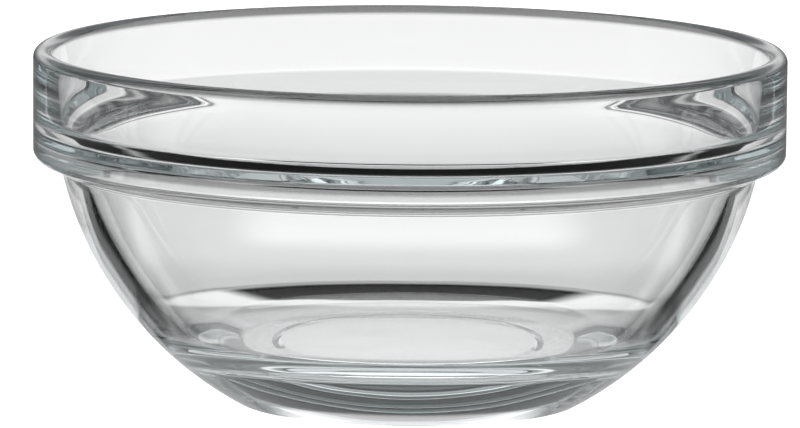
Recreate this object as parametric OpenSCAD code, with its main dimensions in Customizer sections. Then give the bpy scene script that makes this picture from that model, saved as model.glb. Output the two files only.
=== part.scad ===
// Stacking salad bowl of clear pressed glass.
// The bowl is one piece: a half section turned about the Z axis.
// Millimetres, +Z up, origin at the centre of the base on the table.

/* [Overall] */
// Outside diameter of the band
rim_d = 120; // [108:1:140]
// Height from the table to the top of the lip
height = 56.6; // [51:0.2:64]

/* [Band and lip] */
// Height of the band, from the top of the lip to the shoulder's outer corner
band_h = 17.2; // [15:0.2:20]
// Thickness of the lip, which is rounded right over
lip_t = 3.1; // [2.4:0.1:4]
// Draft of the band's inner wall, which lets the plunger leave the glass
band_draft = 4; // [1:0.5:8]

/* [Shoulder] */
// How far the band stands out from the body
shoulder_w = 4.4; // [3.6:0.1:6]
// Slope of the shoulder's underside, which centres one bowl on the next in a stack
shoulder_slope = 20; // [5:1:30]
// Rounding of the shoulder's outer corner
shoulder_corner_r = 1.8; // [0.8:0.1:2]
// Fillet between the shoulder and the body
shoulder_root_r = 1.2; // [0.6:0.1:1.5]

/* [Ledge inside the band] */
// Depth of the ledge's upper edge below the top of the lip
ledge_depth = 10.9; // [9.5:0.1:12]
// Fall of the ledge below level
ledge_slope = 52; // [44:1:58]
// Fillet between the band's inner wall and the ledge
ledge_fillet_r = 3; // [1:0.1:4]
// Rounding between the ledge and the well
ledge_round_r = 3.5; // [1:0.1:5]

/* [Body] */
// How much of the body's ball the base cuts off
body_cut = 6.8; // [6:0.1:8.5]
// Wall thickness just under the shoulder
wall_t = 3.3; // [3:0.1:4]
// Thickness between the body's ball and the well's ball at their lowest points
bottom_t = 4; // [3.2:0.1:5.5]

/* [Base] */
// Height of the floor inside, above the table
floor_h = 10.6; // [8.5:0.1:12.5]
// Fillet between the floor and the well
floor_fillet_r = 12; // [6:0.5:16]
// Rounding between the body and the base
foot_r = 3; // [1:0.5:6]
// Diameter of the hollow under the base
hollow_d = 44; // [36:1:48]
// Depth of the hollow under the base
hollow_h = 0.8; // [0.3:0.1:1.2]
// Slope of the hollow's edge
hollow_slope = 30; // [15:1:60]

/* [Hidden] */

// Largest turn between two points of an arc, in degrees
arc_step = 4;
// Points closer than this are one point
same_point = 0.001;
// Facets round the axis in a preview
$fn = 180;

// Point at angle a and distance r from c
function polar(c, r, a) = c + r * [cos(a), sin(a)];

// Direction of a vector, in degrees
function heading(v) = atan2(v[1], v[0]);

// Arc about c from one angle to another, ends included
function arc(c, r, from, to) =
    let (steps = max(2, ceil(abs(to - from) / arc_step)))
    [for (i = [0:steps]) polar(c, r, from + (to - from) * i / steps)];

// Points of a path without those that repeat the one before
function no_repeats(path) =
    [for (i = [0:len(path) - 1]) if (i == 0 || norm(path[i] - path[max(0, i - 1)]) > same_point) path[i]];

// Where the line from p in unit direction d enters the circle about c
function enters_circle(p, d, c, r) =
    let (v = p - c, along = v * d)
    p + d * (-along - sqrt(along * along - v * v + r * r));

// Where two lines cross, each given by a point and a unit direction
function crossing(p, d, q, e) = p + d * (((q - p) * [-e[1], e[0]]) / (d * [-e[1], e[0]]));

// Centre of a circle that rests on the level line z and touches a ball's section from inside
function resting_centre(ball_z, ball_r, z, r) =
    [sqrt(pow(ball_r - r, 2) - pow(z + r - ball_z, 2)), z + r];

// Radius of a ball whose section passes through point p and has its lowest point at height low
function ball_radius(p, low) = (p[0] * p[0] + pow(p[1] - low, 2)) / (2 * (p[1] - low));

rim_r = rim_d / 2;
lip_r = lip_t / 2;

// Shoulder: its underside falls inwards from the foot of the band to the body
shoulder_foot = [rim_r, height - band_h];
underside = -[cos(shoulder_slope), sin(shoulder_slope)];
shoulder_root = shoulder_foot + underside * shoulder_w / cos(shoulder_slope);

// Body: a ball through the shoulder's root, cut off by the table
body_low = -body_cut;
body_r = ball_radius(shoulder_root, body_low);
body_z = body_low + body_r;

// Well: a second ball, closer to the body at the shoulder than at the bottom
well_low = body_low + bottom_t;
well_r = ball_radius(shoulder_root - [wall_t, 0], well_low);
well_z = well_low + well_r;

// Lip, band wall and ledge
lip_c = [rim_r - lip_r, height - lip_r];
wall_top_a = 180 - band_draft;
wall_top = polar(lip_c, lip_r, wall_top_a);
wall_down = -[sin(band_draft), cos(band_draft)];
ledge_down = -[cos(ledge_slope), sin(ledge_slope)];
ledge_edge = crossing(wall_top, wall_down, [0, height - ledge_depth], [1, 0]);

// Hollow under the base, with a sloping edge
hollow_r = hollow_d / 2;
hollow_top_r = hollow_r - hollow_h / tan(hollow_slope);
hollow = [[0, hollow_h], [hollow_top_r, hollow_h], [hollow_r, 0]];

// Foot and outside of the body
foot_c = resting_centre(body_z, body_r, 0, foot_r);
foot_a = heading(foot_c - [0, body_z]);
root_c = enters_circle(
    shoulder_foot + [underside[1], -underside[0]] * -shoulder_root_r,
    underside, [0, body_z], body_r + shoulder_root_r);
root_a = heading(root_c - [0, body_z]);
corner_c = shoulder_foot + [-shoulder_corner_r, shoulder_corner_r * (1 - sin(shoulder_slope)) / cos(shoulder_slope)];

// Inside corners of the ledge
fillet_c = crossing(
    wall_top + [wall_down[1], -wall_down[0]] * ledge_fillet_r, wall_down,
    ledge_edge + [ledge_down[1], -ledge_down[0]] * ledge_fillet_r, ledge_down);
round_c = enters_circle(
    ledge_edge + [ledge_down[1], -ledge_down[0]] * -ledge_round_r,
    ledge_down, [0, well_z], well_r + ledge_round_r);
round_a = heading(round_c - [0, well_z]);

// Floor
floor_c = resting_centre(well_z, well_r, floor_h, floor_fillet_r);
floor_a = heading(floor_c - [0, well_z]);

// Half section, from the middle of the base round the outside and back down the inside
section = concat(
    hollow,
    arc(foot_c, foot_r, -90, foot_a),
    arc([0, body_z], body_r, foot_a, root_a),
    arc(root_c, shoulder_root_r, 180 + root_a, 90 + shoulder_slope),
    arc(corner_c, shoulder_corner_r, shoulder_slope - 90, 0),
    arc(lip_c, lip_r, 0, wall_top_a),
    arc(fillet_c, ledge_fillet_r, -band_draft, ledge_slope - 90),
    arc(round_c, ledge_round_r, 90 + ledge_slope, 180 + round_a),
    arc([0, well_z], well_r, round_a, floor_a),
    arc(floor_c, floor_fillet_r, floor_a, -90),
    [[0, floor_h]]);

module bowl() {
    color([0.86, 0.93, 0.92, 0.45])
        rotate_extrude()
            polygon(no_repeats(section));
}

bowl();
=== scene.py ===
import math

import bpy
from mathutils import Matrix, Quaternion, Vector


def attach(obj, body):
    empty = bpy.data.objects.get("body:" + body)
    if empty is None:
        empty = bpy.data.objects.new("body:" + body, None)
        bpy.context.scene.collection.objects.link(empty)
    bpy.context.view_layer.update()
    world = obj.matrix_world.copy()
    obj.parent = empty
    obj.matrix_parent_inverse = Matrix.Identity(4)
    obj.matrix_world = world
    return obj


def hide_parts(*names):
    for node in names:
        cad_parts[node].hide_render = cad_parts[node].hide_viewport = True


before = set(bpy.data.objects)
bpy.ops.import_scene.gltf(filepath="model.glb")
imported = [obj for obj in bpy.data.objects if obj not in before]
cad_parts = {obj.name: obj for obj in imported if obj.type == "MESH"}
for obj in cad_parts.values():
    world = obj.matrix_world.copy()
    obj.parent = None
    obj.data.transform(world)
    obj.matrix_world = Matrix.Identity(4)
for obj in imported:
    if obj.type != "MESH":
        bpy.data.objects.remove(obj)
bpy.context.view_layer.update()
scene = bpy.context.scene


# Bowl: one piece of clear soda-lime glass, pressed in a mould and toughened.
# The mould forms the outside, with its band and stacking shoulder, and a plunger forms the well.
# Nothing is fixed to it, and it stands on a narrow ring round a shallow hollow.
MM = 0.001
RIM_R = 60 * MM
HEIGHT = 56.6 * MM
BAND_H = 17.2 * MM
LIP_R = 1.55 * MM
BAND_DRAFT = math.radians(4)
SHOULDER_W = 4.4 * MM
SHOULDER_SLOPE = math.radians(20)
SHOULDER_CORNER_R = 1.8 * MM
SHOULDER_ROOT_R = 1.2 * MM
LEDGE_DEPTH = 10.9 * MM
LEDGE_SLOPE = math.radians(52)
LEDGE_FILLET_R = 3 * MM
LEDGE_ROUND_R = 3.5 * MM
BODY_CUT = 6.8 * MM
WALL_T = 3.3 * MM
BOTTOM_T = 4 * MM
FLOOR_H = 10.6 * MM
FLOOR_FILLET_R = 12 * MM
FOOT_R = 3 * MM
HOLLOW_R = 22 * MM
HOLLOW_H = 0.8 * MM
HOLLOW_SLOPE = math.radians(30)
# Spacing of the section's points, along straight runs and round arcs
RUN_STEP = 1.3 * MM
ARC_STEP = math.radians(4)
ARC_LENGTH = 1.1 * MM
FEWEST_ARC_STEPS = 2
# Points closer than this are one
SAME_POINT = 0.001 * MM
# Facets round the axis, and the bend from which an edge is drawn sharp
FACETS = 360
SHARP_ANGLE = math.radians(25)
# Refraction, and a cool tint that deepens with the light's way through the glass
REFRACTIVE_INDEX = 1.52
TINT = (0.65, 0.8, 0.83, 1)
TINT_PER_METRE = 5
# Painted shade of the lip, over the heights where it deepens
LIP_SHADE = 0.12
LIP_SHADE_FROM = HEIGHT - 1.1 * LIP_R
LIP_SHADE_TO = HEIGHT - 0.6 * LIP_R
# Painted shade of the ledge's foot, on the inside only, between two heights
LEDGE_SHADE = 0.22
LEDGE_SHADE_FROM = 40.5 * MM
LEDGE_SHADE_TO = 42.5 * MM
LEDGE_SHADE_R = RIM_R - 2.5 * MM
LEDGE_SHADE_BLUR = 0.5 * MM
# Ripple of the skin: waves per metre and height
RIPPLE_SCALE = 60
RIPPLE_DETAIL = 1
RIPPLE_HEIGHT = 0.03 * MM
# Scuffs: specks per metre, and the noise level where a speck starts and where it is full
SCUFF_SCALE = 900
SCUFF_DETAIL = 3
SCUFF_START = 0.4
SCUFF_FULL = 0.65
# Roughness of the scuffs on the base ring and on the shoulder's underside, and where these are
RING_WEAR = 0.3
RING_WEAR_TOP = 0.25 * MM
RING_WEAR_BLUR = 0.15 * MM
STACKING_WEAR = 0.15
STACKING_WEAR_LOW = HEIGHT - BAND_H - 1.4 * MM
STACKING_WEAR_HIGH = HEIGHT - BAND_H - 0.4 * MM
STACKING_WEAR_BLUR = 0.3 * MM
STACKING_WEAR_R = RIM_R - 3 * MM
WEAR_EDGE_BLUR = 0.5 * MM
# Share of the lamp's light that passes a skin of the wall and of the lip
WALL_PASSES = 0.86
LIP_PASSES = 0.15


def polar(centre, radius, angle):
    """The point of a circle at an angle."""
    return centre + radius * Vector((math.cos(angle), math.sin(angle)))


def heading(vector):
    """The angle of a direction."""
    return math.atan2(vector.y, vector.x)


def arc(centre, radius, start, end):
    """Points along an arc, from one angle to another."""
    turn = abs(end - start)
    steps = max(FEWEST_ARC_STEPS, math.ceil(turn / ARC_STEP), math.ceil(turn * radius / ARC_LENGTH))
    return [polar(centre, radius, start + (end - start) * i / steps) for i in range(steps + 1)]


def enters_circle(point, direction, centre, radius):
    """Where a line first meets a circle."""
    offset = point - centre
    along = offset.dot(direction)
    return point + direction * (-along - math.sqrt(along * along - offset.dot(offset) + radius * radius))


def crossing(point, direction, other, other_direction):
    """Where two lines cross."""
    normal = Vector((-other_direction.y, other_direction.x))
    return point + direction * ((other - point).dot(normal) / direction.dot(normal))


def right_of(direction):
    """The direction a quarter turn to the right."""
    return Vector((direction.y, -direction.x))


def resting_centre(ball_z, ball_r, level, radius):
    """The centre of a circle that lies on a level and touches a ball from inside."""
    return Vector((math.sqrt((ball_r - radius) ** 2 - (level + radius - ball_z) ** 2), level + radius))


def ball_radius(point, lowest):
    """The radius of a ball on the axis that passes through a point and has a lowest height."""
    return (point.x ** 2 + (point.y - lowest) ** 2) / (2 * (point.y - lowest))


def with_runs(path):
    """The path with points added along its straight runs."""
    points = [path[0]]
    for point in path[1:]:
        start = points[-1]
        steps = math.ceil((point - start).length / RUN_STEP)
        points += [start.lerp(point, i / steps) for i in range(1, steps + 1)]
    return points


def bowl_section():
    """Half of the section, from the hollow's middle round the outside and the lip to the floor's middle."""
    band_foot = Vector((RIM_R, HEIGHT - BAND_H))
    underside = -Vector((math.cos(SHOULDER_SLOPE), math.sin(SHOULDER_SLOPE)))
    shoulder_root = band_foot + underside * SHOULDER_W / math.cos(SHOULDER_SLOPE)

    body_r = ball_radius(shoulder_root, -BODY_CUT)
    body = Vector((0, body_r - BODY_CUT))
    well_low = BOTTOM_T - BODY_CUT
    well_r = ball_radius(shoulder_root - Vector((WALL_T, 0)), well_low)
    well = Vector((0, well_low + well_r))

    hollow_top_r = HOLLOW_R - HOLLOW_H / math.tan(HOLLOW_SLOPE)
    hollow = [Vector((0, HOLLOW_H)), Vector((hollow_top_r, HOLLOW_H)), Vector((HOLLOW_R, 0))]
    foot = resting_centre(body.y, body_r, 0, FOOT_R)
    foot_end = heading(foot - body)
    root = enters_circle(
        band_foot - right_of(underside) * SHOULDER_ROOT_R, underside, body, body_r + SHOULDER_ROOT_R)
    root_end = heading(root - body)
    corner_rise = SHOULDER_CORNER_R * (1 - math.sin(SHOULDER_SLOPE)) / math.cos(SHOULDER_SLOPE)
    corner = band_foot + Vector((-SHOULDER_CORNER_R, corner_rise))

    lip = Vector((RIM_R - LIP_R, HEIGHT - LIP_R))
    wall_top = polar(lip, LIP_R, math.pi - BAND_DRAFT)
    wall_down = -Vector((math.sin(BAND_DRAFT), math.cos(BAND_DRAFT)))
    ledge_down = -Vector((math.cos(LEDGE_SLOPE), math.sin(LEDGE_SLOPE)))
    ledge_edge = crossing(wall_top, wall_down, Vector((0, HEIGHT - LEDGE_DEPTH)), Vector((1, 0)))
    fillet = crossing(
        wall_top + right_of(wall_down) * LEDGE_FILLET_R, wall_down,
        ledge_edge + right_of(ledge_down) * LEDGE_FILLET_R, ledge_down)
    rounding = enters_circle(
        ledge_edge - right_of(ledge_down) * LEDGE_ROUND_R, ledge_down, well, well_r + LEDGE_ROUND_R)
    rounding_end = heading(rounding - well)
    floor = resting_centre(well.y, well_r, FLOOR_H, FLOOR_FILLET_R)
    floor_end = heading(floor - well)

    down = -math.pi / 2
    path = hollow
    path += arc(foot, FOOT_R, down, foot_end)
    path += arc(body, body_r, foot_end, root_end)
    path += arc(root, SHOULDER_ROOT_R, math.pi + root_end, math.pi / 2 + SHOULDER_SLOPE)
    path += arc(corner, SHOULDER_CORNER_R, down + SHOULDER_SLOPE, 0)
    path += arc(lip, LIP_R, 0, math.pi - BAND_DRAFT)
    path += arc(fillet, LEDGE_FILLET_R, -BAND_DRAFT, down + LEDGE_SLOPE)
    path += arc(rounding, LEDGE_ROUND_R, math.pi / 2 + LEDGE_SLOPE, math.pi + rounding_end)
    path += arc(well, well_r, rounding_end, floor_end)
    path += arc(floor, FLOOR_FILLET_R, floor_end, down)
    path.append(Vector((0, FLOOR_H)))
    return with_runs([path[0]] + [q for p, q in zip(path, path[1:]) if (q - p).length > SAME_POINT])


def math_node(tree, operation, *values):
    """The result of one operation on numbers and sockets."""
    made = tree.nodes.new("ShaderNodeMath")
    made.operation = operation
    for socket, value in zip(made.inputs, values):
        if isinstance(value, (int, float)):
            socket.default_value = value
        else:
            tree.links.new(value, socket)
    return made.outputs[0]


def times(tree, product, *factors):
    """The product of several sockets."""
    for factor in factors:
        product = math_node(tree, "MULTIPLY", product, factor)
    return product


def smooth_step(tree, value, low, high, start=0, end=1):
    """A soft change from start to end, as the value goes from low to high."""
    made = tree.nodes.new("ShaderNodeMapRange")
    made.interpolation_type = "SMOOTHSTEP"
    for name, number in (("From Min", low), ("From Max", high), ("To Min", start), ("To Max", end)):
        made.inputs[name].default_value = number
    tree.links.new(value, made.inputs["Value"])
    return made.outputs[0]


def rises(tree, value, place, blur):
    """0 below a place and 1 above it, with a soft change."""
    return smooth_step(tree, value, place - blur, place + blur)


def falls(tree, value, place, blur):
    """1 below a place and 0 above it, with a soft change."""
    return smooth_step(tree, value, place + blur, place - blur)


def between(tree, value, low, high, blur):
    """1 between two places and 0 outside them, with soft changes."""
    return times(tree, rises(tree, value, low, blur), falls(tree, value, high, blur))


def turning_tree():
    """Turns the section, a chain of points in the XZ plane, about the Z axis into a closed skin."""
    tree = bpy.data.node_groups.new("turned_glass", "GeometryNodeTree")
    sockets = {}
    for name, kind in (
            ("Section", "NodeSocketGeometry"),
            ("Facets", "NodeSocketInt"),
            ("Section points", "NodeSocketInt"),
            ("Merge distance", "NodeSocketFloat"),
            ("Sharp angle", "NodeSocketFloat"),
            ("Glass", "NodeSocketMaterial")):
        sockets[name] = tree.interface.new_socket(name, in_out="INPUT", socket_type=kind).identifier
    tree.interface.new_socket("Bowl", in_out="OUTPUT", socket_type="NodeSocketGeometry")
    link = tree.links.new

    def node(kind, **settings):
        made = tree.nodes.new(kind)
        for name, value in settings.items():
            setattr(made, name, value)
        return made

    # A grid with one row of points per facet and one column per point of the section
    given = node("NodeGroupInput").outputs
    rows = math_node(tree, "ADD", given["Facets"], 1)
    grid = node("GeometryNodeMeshGrid")
    link(rows, grid.inputs["Vertices X"])
    link(given["Section points"], grid.inputs["Vertices Y"])

    # Each row is the section, turned by its share of a full turn
    index = node("GeometryNodeInputIndex").outputs[0]
    row = math_node(tree, "FLOOR", math_node(tree, "DIVIDE", index, given["Section points"]))
    column = math_node(tree, "MODULO", index, given["Section points"])
    sample = node("GeometryNodeSampleIndex", data_type="FLOAT_VECTOR", domain="POINT")
    link(given["Section"], sample.inputs["Geometry"])
    link(node("GeometryNodeInputPosition").outputs[0], sample.inputs["Value"])
    link(column, sample.inputs["Index"])
    turn = times(tree, math_node(tree, "DIVIDE", row, given["Facets"]), math.tau)
    turned = node("ShaderNodeVectorRotate", rotation_type="Z_AXIS")
    link(sample.outputs[0], turned.inputs["Vector"])
    link(turn, turned.inputs["Angle"])
    placed = node("GeometryNodeSetPosition")
    link(grid.outputs["Mesh"], placed.inputs["Geometry"])
    link(turned.outputs[0], placed.inputs["Position"])

    # The first and last rows meet, and so do the points on the axis
    closed = node("GeometryNodeMergeByDistance")
    link(placed.outputs[0], closed.inputs["Geometry"])
    link(given["Merge distance"], closed.inputs["Distance"])
    smooth = node("GeometryNodeSetShadeSmooth", domain="FACE")
    link(closed.outputs[0], smooth.inputs["Geometry"])
    crease = node("GeometryNodeSetShadeSmooth", domain="EDGE")
    crease.inputs["Shade Smooth"].default_value = False
    link(smooth.outputs[0], crease.inputs["Geometry"])
    bend = node("GeometryNodeInputMeshEdgeAngle").outputs["Unsigned Angle"]
    link(math_node(tree, "GREATER_THAN", bend, given["Sharp angle"]), crease.inputs["Selection"])
    made_real = node("GeometryNodeRealizeInstances")
    link(crease.outputs[0], made_real.inputs["Geometry"])
    clothed = node("GeometryNodeSetMaterial")
    link(made_real.outputs[0], clothed.inputs["Geometry"])
    link(given["Glass"], clothed.inputs["Material"])
    link(clothed.outputs[0], node("NodeGroupOutput").inputs["Bowl"])
    return tree, sockets


def glass_material():
    """Clear glass with a faint tint, two rings of painted shade, a rippled skin and scuffs where it rubs."""
    material = bpy.data.materials.new("clear_pressed_glass")
    material.use_nodes = True
    tree = material.node_tree
    tree.nodes.clear()
    link = tree.links.new
    surface = tree.nodes.new("ShaderNodeBsdfPrincipled")
    surface.inputs["IOR"].default_value = REFRACTIVE_INDEX
    surface.inputs["Transmission Weight"].default_value = 1
    out = tree.nodes.new("ShaderNodeOutputMaterial")
    absorption = tree.nodes.new("ShaderNodeVolumeAbsorption")
    absorption.inputs["Color"].default_value = TINT
    absorption.inputs["Density"].default_value = TINT_PER_METRE
    link(absorption.outputs[0], out.inputs["Volume"])
    place = tree.nodes.new("ShaderNodeTexCoord")
    axes = tree.nodes.new("ShaderNodeSeparateXYZ")
    link(place.outputs["Object"], axes.inputs[0])
    height = axes.outputs["Z"]
    level_part = tree.nodes.new("ShaderNodeVectorMath")
    level_part.operation = "MULTIPLY"
    level_part.inputs[1].default_value = (1, 1, 0)
    link(place.outputs["Object"], level_part.inputs[0])
    from_axis = tree.nodes.new("ShaderNodeVectorMath")
    from_axis.operation = "LENGTH"
    link(level_part.outputs[0], from_axis.inputs[0])
    radius = from_axis.outputs["Value"]

    # Colour: painted shade darkens the glass round the lip and at the foot of the ledge, in place of the
    # light that these curves bend away
    lip_shade = smooth_step(tree, height, LIP_SHADE_FROM, LIP_SHADE_TO, 1, LIP_SHADE)
    at_ledge = times(
        tree, between(tree, height, LEDGE_SHADE_FROM, LEDGE_SHADE_TO, LEDGE_SHADE_BLUR),
        falls(tree, radius, LEDGE_SHADE_R, LEDGE_SHADE_BLUR))
    ledge_shade = smooth_step(tree, at_ledge, 0, 1, 1, LEDGE_SHADE)
    link(times(tree, lip_shade, ledge_shade), surface.inputs["Base Color"])

    # Skin: the slow ripple that the mould and plunger leave
    ripple = tree.nodes.new("ShaderNodeTexNoise")
    ripple.inputs["Scale"].default_value = RIPPLE_SCALE
    ripple.inputs["Detail"].default_value = RIPPLE_DETAIL
    link(place.outputs["Object"], ripple.inputs["Vector"])
    bump = tree.nodes.new("ShaderNodeBump")
    bump.inputs["Strength"].default_value = 1
    bump.inputs["Distance"].default_value = RIPPLE_HEIGHT
    link(ripple.outputs["Fac"], bump.inputs["Height"])
    link(bump.outputs[0], surface.inputs["Normal"])

    # Wear: fine scuffs on the ring that the bowl stands on, and on the shoulder where stacked bowls rub
    scuffs = tree.nodes.new("ShaderNodeTexNoise")
    scuffs.inputs["Scale"].default_value = SCUFF_SCALE
    scuffs.inputs["Detail"].default_value = SCUFF_DETAIL
    link(place.outputs["Object"], scuffs.inputs["Vector"])
    scuffed = smooth_step(tree, scuffs.outputs["Fac"], SCUFF_START, SCUFF_FULL)
    on_ring = times(
        tree, falls(tree, height, RING_WEAR_TOP, RING_WEAR_BLUR),
        rises(tree, radius, HOLLOW_R, WEAR_EDGE_BLUR))
    on_shoulder = times(
        tree, between(tree, height, STACKING_WEAR_LOW, STACKING_WEAR_HIGH, STACKING_WEAR_BLUR),
        rises(tree, radius, STACKING_WEAR_R, WEAR_EDGE_BLUR))
    worn = math_node(
        tree, "MAXIMUM", times(tree, on_ring, RING_WEAR), times(tree, on_shoulder, STACKING_WEAR))
    link(times(tree, worn, scuffed), surface.inputs["Roughness"])

    # Lamplight on its way to the table: some is lost at each skin, and most of it at the lip
    passed = tree.nodes.new("ShaderNodeBsdfTransparent")
    link(
        smooth_step(tree, height, HEIGHT - 2 * LIP_R, HEIGHT - LIP_R, WALL_PASSES, LIP_PASSES),
        passed.inputs["Color"])
    rays = tree.nodes.new("ShaderNodeLightPath")
    mix = tree.nodes.new("ShaderNodeMixShader")
    link(rays.outputs["Is Shadow Ray"], mix.inputs["Fac"])
    link(surface.outputs[0], mix.inputs[1])
    link(passed.outputs[0], mix.inputs[2])
    link(mix.outputs[0], out.inputs["Surface"])
    return material


section_points = bowl_section()
section_mesh = bpy.data.meshes.new("bowl_section")
section_mesh.from_pydata(
    [(p.x, 0, p.y) for p in section_points], [(i, i + 1) for i in range(len(section_points) - 1)], [])
turned_bowl = bpy.data.objects.new("bowl_turning", section_mesh)
scene.collection.objects.link(turned_bowl)
tree, sockets = turning_tree()
glass = glass_material()
turning = turned_bowl.modifiers.new("turning", "NODES")
turning.node_group = tree
turning[sockets["Facets"]] = FACETS
turning[sockets["Section points"]] = len(section_points)
turning[sockets["Merge distance"]] = SAME_POINT
turning[sockets["Sharp angle"]] = SHARP_ANGLE
turning[sockets["Glass"]] = glass
evaluated = turned_bowl.evaluated_get(bpy.context.evaluated_depsgraph_get())
bowl = bpy.data.objects.new("glass_bowl", bpy.data.meshes.new_from_object(evaluated))
scene.collection.objects.link(bowl)
bpy.data.objects.remove(turned_bowl)
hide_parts("bowl")
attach(bowl, "root")


# Studio: a plain white table in a white room, with one lamp overhead. The camera sees both as plain white.
# To light that has met the glass they have brighter and darker areas, as white and black cards would give;
# on the table these are painted light and painted shade, and they draw the glass's edges. All places on the
# table are in metres.
TABLE_R = 3.0
TABLE_FACETS = 128
TABLE_DROP = 0.1 * MM
TABLE_WHITENESS = 0.8
TABLE_GLOW_TO_CAMERA = 0.93
# Glow of the table in the glass, by distance from the bowl's axis
GLOW_BY_DISTANCE = (
    (0.078, 0), (0.110, 0.1), (0.150, 0.1), (0.190, 0.08),
    (0.215, 0.18), (0.250, 0.33), (0.600, 0.33), (0.900, 0.2))
# Seen through two walls, the stretch under the back of the bowl is brighter, with painted light
BACK_START = 0.029
BACK_START_BLUR = 0.002
BACK_END = 0.0605
BACK_END_BLUR = 0.0025
BACK_GLOW = 0.65
# A dark crescent, a painted shadow of the band, lies in that stretch. Its ends are given by the cosine of the
# angle from straight behind
CRESCENT_START = 0.0346
CRESCENT_START_BLUR = 0.001
CRESCENT_END = 0.0595
CRESCENT_END_BLUR = 0.0025
CRESCENT_COSINE = 0.835
CRESCENT_COSINE_BLUR = 0.035
# To reflected light the front half of the table is dark with a painted shadow of the bowl, from a ring round
# the bowl outwards.
# Reflections on the outer skin still see a light patch there, between two distances
RING_START = 0.044
RING_BLUR = 0.003
PATCH_START = 0.076
PATCH_END = 0.15
PATCH_BLUR = 0.005
FRONT_BLUR = 0.01
# To reflected light the back half is dark beside a wedge, with painted darkness in place of black cards,
# given as the wedge's half width by distance behind the bowl's middle
WEDGE_EDGE = ((0.0125, 0.045), (0.027, 0.058), (0.041, 0.067), (0.060, 0.0745), (0.089, 0.107))
WEDGE_SPAN = 0.15
WEDGE_BLUR = 0.004
# Along the wedge's edges a strip is also painted dark when seen through two walls
STRIP_WIDTH = 0.019
STRIP_BLUR = 0.003
STRIP_END = 0.11
STRIP_END_BLUR = 0.01
# Level of the painted dark areas by distance from the bowl's axis
DARK_LEVEL = ((0.12, 0), (0.25, 0.2))
# Before the bowl the table is bright to reflections on the outer skin, a painted reflection, and it glows
# close round the foot, painted light in place of the light that the foot gathers.
# What counts as before the bowl is given by the same cosine
GLOSS_START = 0.080
GLOSS_FULL = 0.095
GLOSS_END = 0.140
GLOSS_GLOW = 4.6
FOOT_START = 0.0255
FOOT_END = 0.0295
FOOT_BLUR = 0.0005
FOOT_GLOW = 2.6
BEFORE_COSINE = -0.725
BEFORE_COSINE_BLUR = 0.125
# A ray's counts are whole numbers, so these limits lie between two of them
ONE_OR_MORE = 0.5
THREE_OR_MORE = 2.5


def level_ramp(tree, value, stops, span=1):
    """A level that follows stops, each with a place and a level, over a span of values."""
    ramp = tree.nodes.new("ShaderNodeValToRGB")
    elements = ramp.color_ramp.elements
    elements.remove(elements[-1])
    elements[0].position = stops[0][0] / span
    elements[0].color = (stops[0][1],) * 3 + (1,)
    for place, level in stops[1:]:
        elements.new(place / span).color = (level, level, level, 1)
    tree.links.new(math_node(tree, "DIVIDE", value, span), ramp.inputs[0])
    return ramp.outputs[0]


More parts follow.
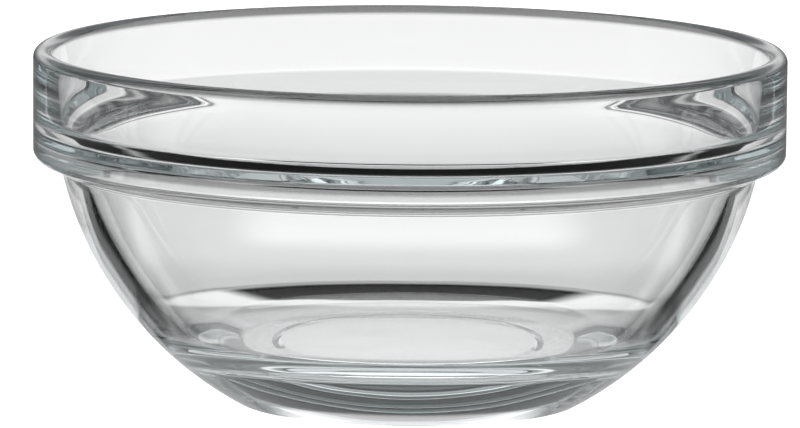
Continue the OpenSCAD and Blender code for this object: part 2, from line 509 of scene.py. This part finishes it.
def table_material():
    """White to the camera, and in the glass a pattern of painted light and painted shade."""
    material = bpy.data.materials.new("white_table")
    material.use_nodes = True
    tree = material.node_tree
    tree.nodes.clear()
    link = tree.links.new
    place = tree.nodes.new("ShaderNodeTexCoord")
    axes = tree.nodes.new("ShaderNodeSeparateXYZ")
    link(place.outputs["Object"], axes.inputs[0])
    behind = axes.outputs["Y"]
    aside = math_node(tree, "ABSOLUTE", axes.outputs["X"])
    from_axis = tree.nodes.new("ShaderNodeVectorMath")
    from_axis.operation = "LENGTH"
    link(place.outputs["Object"], from_axis.inputs[0])
    distance = from_axis.outputs["Value"]
    cosine = math_node(tree, "DIVIDE", behind, distance)

    # What the ray has met: the outer skin only, the glass, a second wall, a reflection, a matt surface
    rays = tree.nodes.new("ShaderNodeLightPath")
    in_glass = math_node(tree, "GREATER_THAN", rays.outputs["Transmission Depth"], ONE_OR_MORE)
    on_skin = math_node(tree, "SUBTRACT", 1, in_glass)
    through_two_walls = math_node(tree, "GREATER_THAN", rays.outputs["Transmission Depth"], THREE_OR_MORE)
    reflected = math_node(tree, "GREATER_THAN", rays.outputs["Glossy Depth"], ONE_OR_MORE)
    first_look = math_node(tree, "LESS_THAN", rays.outputs["Diffuse Depth"], ONE_OR_MORE)

    # Dark areas, all painted: the front half, a painted shadow of the bowl; the back half beside the wedge,
    # painted darkness in place of black cards; and the crescent, a painted shadow of the band
    front = falls(tree, behind, 0, FRONT_BLUR)
    off_patch = math_node(tree, "SUBTRACT", 1, between(tree, distance, PATCH_START, PATCH_END, PATCH_BLUR))
    dark_front = times(
        tree, rises(tree, distance, RING_START, RING_BLUR),
        math_node(tree, "MAXIMUM", in_glass, off_patch), reflected, front)
    past_edge = math_node(tree, "SUBTRACT", aside, level_ramp(tree, behind, WEDGE_EDGE, WEDGE_SPAN))
    strip = times(
        tree, falls(tree, past_edge, STRIP_WIDTH, STRIP_BLUR),
        falls(tree, behind, STRIP_END, STRIP_END_BLUR), through_two_walls)
    dark_back = times(
        tree, rises(tree, past_edge, 0, WEDGE_BLUR), math_node(tree, "SUBTRACT", 1, front),
        math_node(tree, "MAXIMUM", reflected, strip))
    # Painted shadow of the band: the dark crescent behind the bowl, seen through two walls
    crescent = times(
        tree, rises(tree, behind, CRESCENT_START, CRESCENT_START_BLUR),
        falls(tree, distance, CRESCENT_END, CRESCENT_END_BLUR),
        rises(tree, cosine, CRESCENT_COSINE, CRESCENT_COSINE_BLUR), through_two_walls)
    dark = math_node(tree, "MAXIMUM", math_node(tree, "MAXIMUM", dark_front, dark_back), crescent)
    dark_change = math_node(tree, "SUBTRACT", level_ramp(tree, distance, DARK_LEVEL), 1)
    lightness = math_node(tree, "MULTIPLY_ADD", dark, dark_change, 1)

    # Bright areas, which only the glass shows, with painted light behind and before the bowl and round its
    # foot: they light no matt surface
    back = times(
        tree, rises(tree, behind, BACK_START, BACK_START_BLUR),
        falls(tree, distance, BACK_END, BACK_END_BLUR), through_two_walls)
    gloss = times(
        tree, smooth_step(tree, distance, GLOSS_START, GLOSS_FULL),
        smooth_step(tree, distance, GLOSS_END, GLOSS_FULL), on_skin)
    round_foot = between(tree, distance, FOOT_START, FOOT_END, FOOT_BLUR)
    before = math_node(tree, "MULTIPLY_ADD", gloss, GLOSS_GLOW, times(tree, round_foot, FOOT_GLOW))
    is_before = falls(tree, cosine, BEFORE_COSINE, BEFORE_COSINE_BLUR)
    bright = level_ramp(tree, distance, GLOW_BY_DISTANCE)
    bright = math_node(tree, "MULTIPLY_ADD", back, BACK_GLOW, bright)
    bright = math_node(tree, "MULTIPLY_ADD", before, is_before, bright)
    glow_in_glass = times(tree, bright, lightness, first_look)

    # The camera sees none of these areas, but an even white
    to_camera = rays.outputs["Is Camera Ray"]
    matt = tree.nodes.new("ShaderNodeBsdfDiffuse")
    link(
        times(tree, math_node(tree, "MAXIMUM", lightness, to_camera), TABLE_WHITENESS), matt.inputs["Color"])
    strength = tree.nodes.new("ShaderNodeMix")
    strength.data_type = "FLOAT"
    strength.inputs["B"].default_value = TABLE_GLOW_TO_CAMERA
    link(to_camera, strength.inputs["Factor"])
    link(glow_in_glass, strength.inputs["A"])
    glow = tree.nodes.new("ShaderNodeEmission")
    link(strength.outputs[0], glow.inputs["Strength"])
    both = tree.nodes.new("ShaderNodeAddShader")
    link(matt.outputs[0], both.inputs[0])
    link(glow.outputs[0], both.inputs[1])
    out = tree.nodes.new("ShaderNodeOutputMaterial")
    link(both.outputs[0], out.inputs["Surface"])
    return material


corners = [i * math.tau / TABLE_FACETS for i in range(TABLE_FACETS)]
table_mesh = bpy.data.meshes.new("table")
table_mesh.from_pydata(
    [(TABLE_R * math.cos(a), TABLE_R * math.sin(a), 0) for a in corners], [], [tuple(range(TABLE_FACETS))])
table_mesh.materials.append(table_material())
table = bpy.data.objects.new("table", table_mesh)
scene.collection.objects.link(table)
table.location.z = -TABLE_DROP

# The room: white to the camera, graded in the glass, and nearly dark to everything else.
# Brightness of the room in the glass, by degrees above the table
SKY_BY_HEIGHT = (
    (0, 0.4), (4, 0.55), (7, 1.2), (9, 1.6), (13, 1.6), (16, 0.6),
    (22, 0.35), (32, 0.55), (40, 0.65), (48, 0.4), (60, 0.08), (90, 0.05))
STRAIGHT_UP = 90
# Share of that brightness by degrees from straight behind the bowl
SKY_ASIDE = ((28, 1), (45, 0.6), (60, 0.58), (120, 0.58), (150, 1))
STRAIGHT_BEFORE = 180
# Brightness of the room to everything else
ROOM_FILL = 0.01
world = bpy.data.worlds.new("studio")
scene.world = world
world.use_nodes = True
tree = world.node_tree
tree.nodes.clear()
link = tree.links.new
direction = tree.nodes.new("ShaderNodeTexCoord")
axes = tree.nodes.new("ShaderNodeSeparateXYZ")
link(direction.outputs["Generated"], axes.inputs[0])
rise = math_node(tree, "DEGREES", math_node(tree, "ARCSINE", axes.outputs["Z"]))
turn = math_node(tree, "ABSOLUTE", math_node(tree, "ARCTAN2", axes.outputs["X"], axes.outputs["Y"]))
turn = math_node(tree, "DEGREES", turn)
rays = tree.nodes.new("ShaderNodeLightPath")
first_look = math_node(tree, "LESS_THAN", rays.outputs["Diffuse Depth"], ONE_OR_MORE)
from_glass = math_node(tree, "MAXIMUM", rays.outputs["Is Transmission Ray"], rays.outputs["Is Glossy Ray"])
sky = times(
    tree, level_ramp(tree, rise, SKY_BY_HEIGHT, STRAIGHT_UP),
    level_ramp(tree, turn, SKY_ASIDE, STRAIGHT_BEFORE), first_look, from_glass)
seen = math_node(tree, "MAXIMUM", math_node(tree, "ADD", sky, ROOM_FILL), rays.outputs["Is Camera Ray"])
around = tree.nodes.new("ShaderNodeBackground")
link(seen, around.inputs["Strength"])
out = tree.nodes.new("ShaderNodeOutputWorld")
link(around.outputs[0], out.inputs["Surface"])

# The lamp: it lights the table, and doesn't show in the glass
LAMP_SIZE = 0.15
LAMP_POWER = 20.5
LAMP_HEIGHT = 1.5
lamp_light = bpy.data.lights.new("overhead_lamp", "AREA")
lamp_light.shape = "DISK"
lamp_light.size = LAMP_SIZE
lamp_light.energy = LAMP_POWER
lamp = bpy.data.objects.new("overhead_lamp", lamp_light)
scene.collection.objects.link(lamp)
lamp.location = (0, 0, LAMP_HEIGHT)
lamp.rotation_mode = "QUATERNION"
lamp.rotation_quaternion = (-lamp.location).to_track_quat("-Z", "Y")
lamp.visible_camera = False
lamp.visible_glossy = False
lamp.visible_transmission = False

# Light may cross and bounce in the thick glass many times
BOUNCES = 48
GLASS_BOUNCES = 32
scene.cycles.max_bounces = BOUNCES
scene.cycles.glossy_bounces = GLASS_BOUNCES
scene.cycles.transmission_bounces = GLASS_BOUNCES
scene.view_settings.view_transform = "Standard"


# Camera: a long lens before the bowl and a little above its lip, looking slightly down, with a trace of roll.
# A small shift puts the target at its place in the picture.
TARGET = Vector((0, 0, 0.0275))
CAMERA_DISTANCE = 1.5
ELEVATION = math.radians(8.165)
ROLL = math.radians(0.48)
IMAGE_WIDTH = 800
IMAGE_HEIGHT = 428
PIXELS_PER_METRE = 6271
TARGET_PIXEL = (409, 229.6)
to_camera = Vector((0, -math.cos(ELEVATION), math.sin(ELEVATION)))
camera_data = bpy.data.cameras.new("camera")
camera_data.lens = camera_data.sensor_width * CAMERA_DISTANCE * PIXELS_PER_METRE / IMAGE_WIDTH
camera_data.shift_x = (IMAGE_WIDTH / 2 - TARGET_PIXEL[0]) / IMAGE_WIDTH
camera_data.shift_y = (TARGET_PIXEL[1] - IMAGE_HEIGHT / 2) / IMAGE_WIDTH
camera = bpy.data.objects.new("camera", camera_data)
scene.collection.objects.link(camera)
camera.location = TARGET + to_camera * CAMERA_DISTANCE
camera.rotation_mode = "QUATERNION"
camera.rotation_quaternion = (-to_camera).to_track_quat("-Z", "Y") @ Quaternion((0, 0, 1), ROLL)
scene.camera = camera
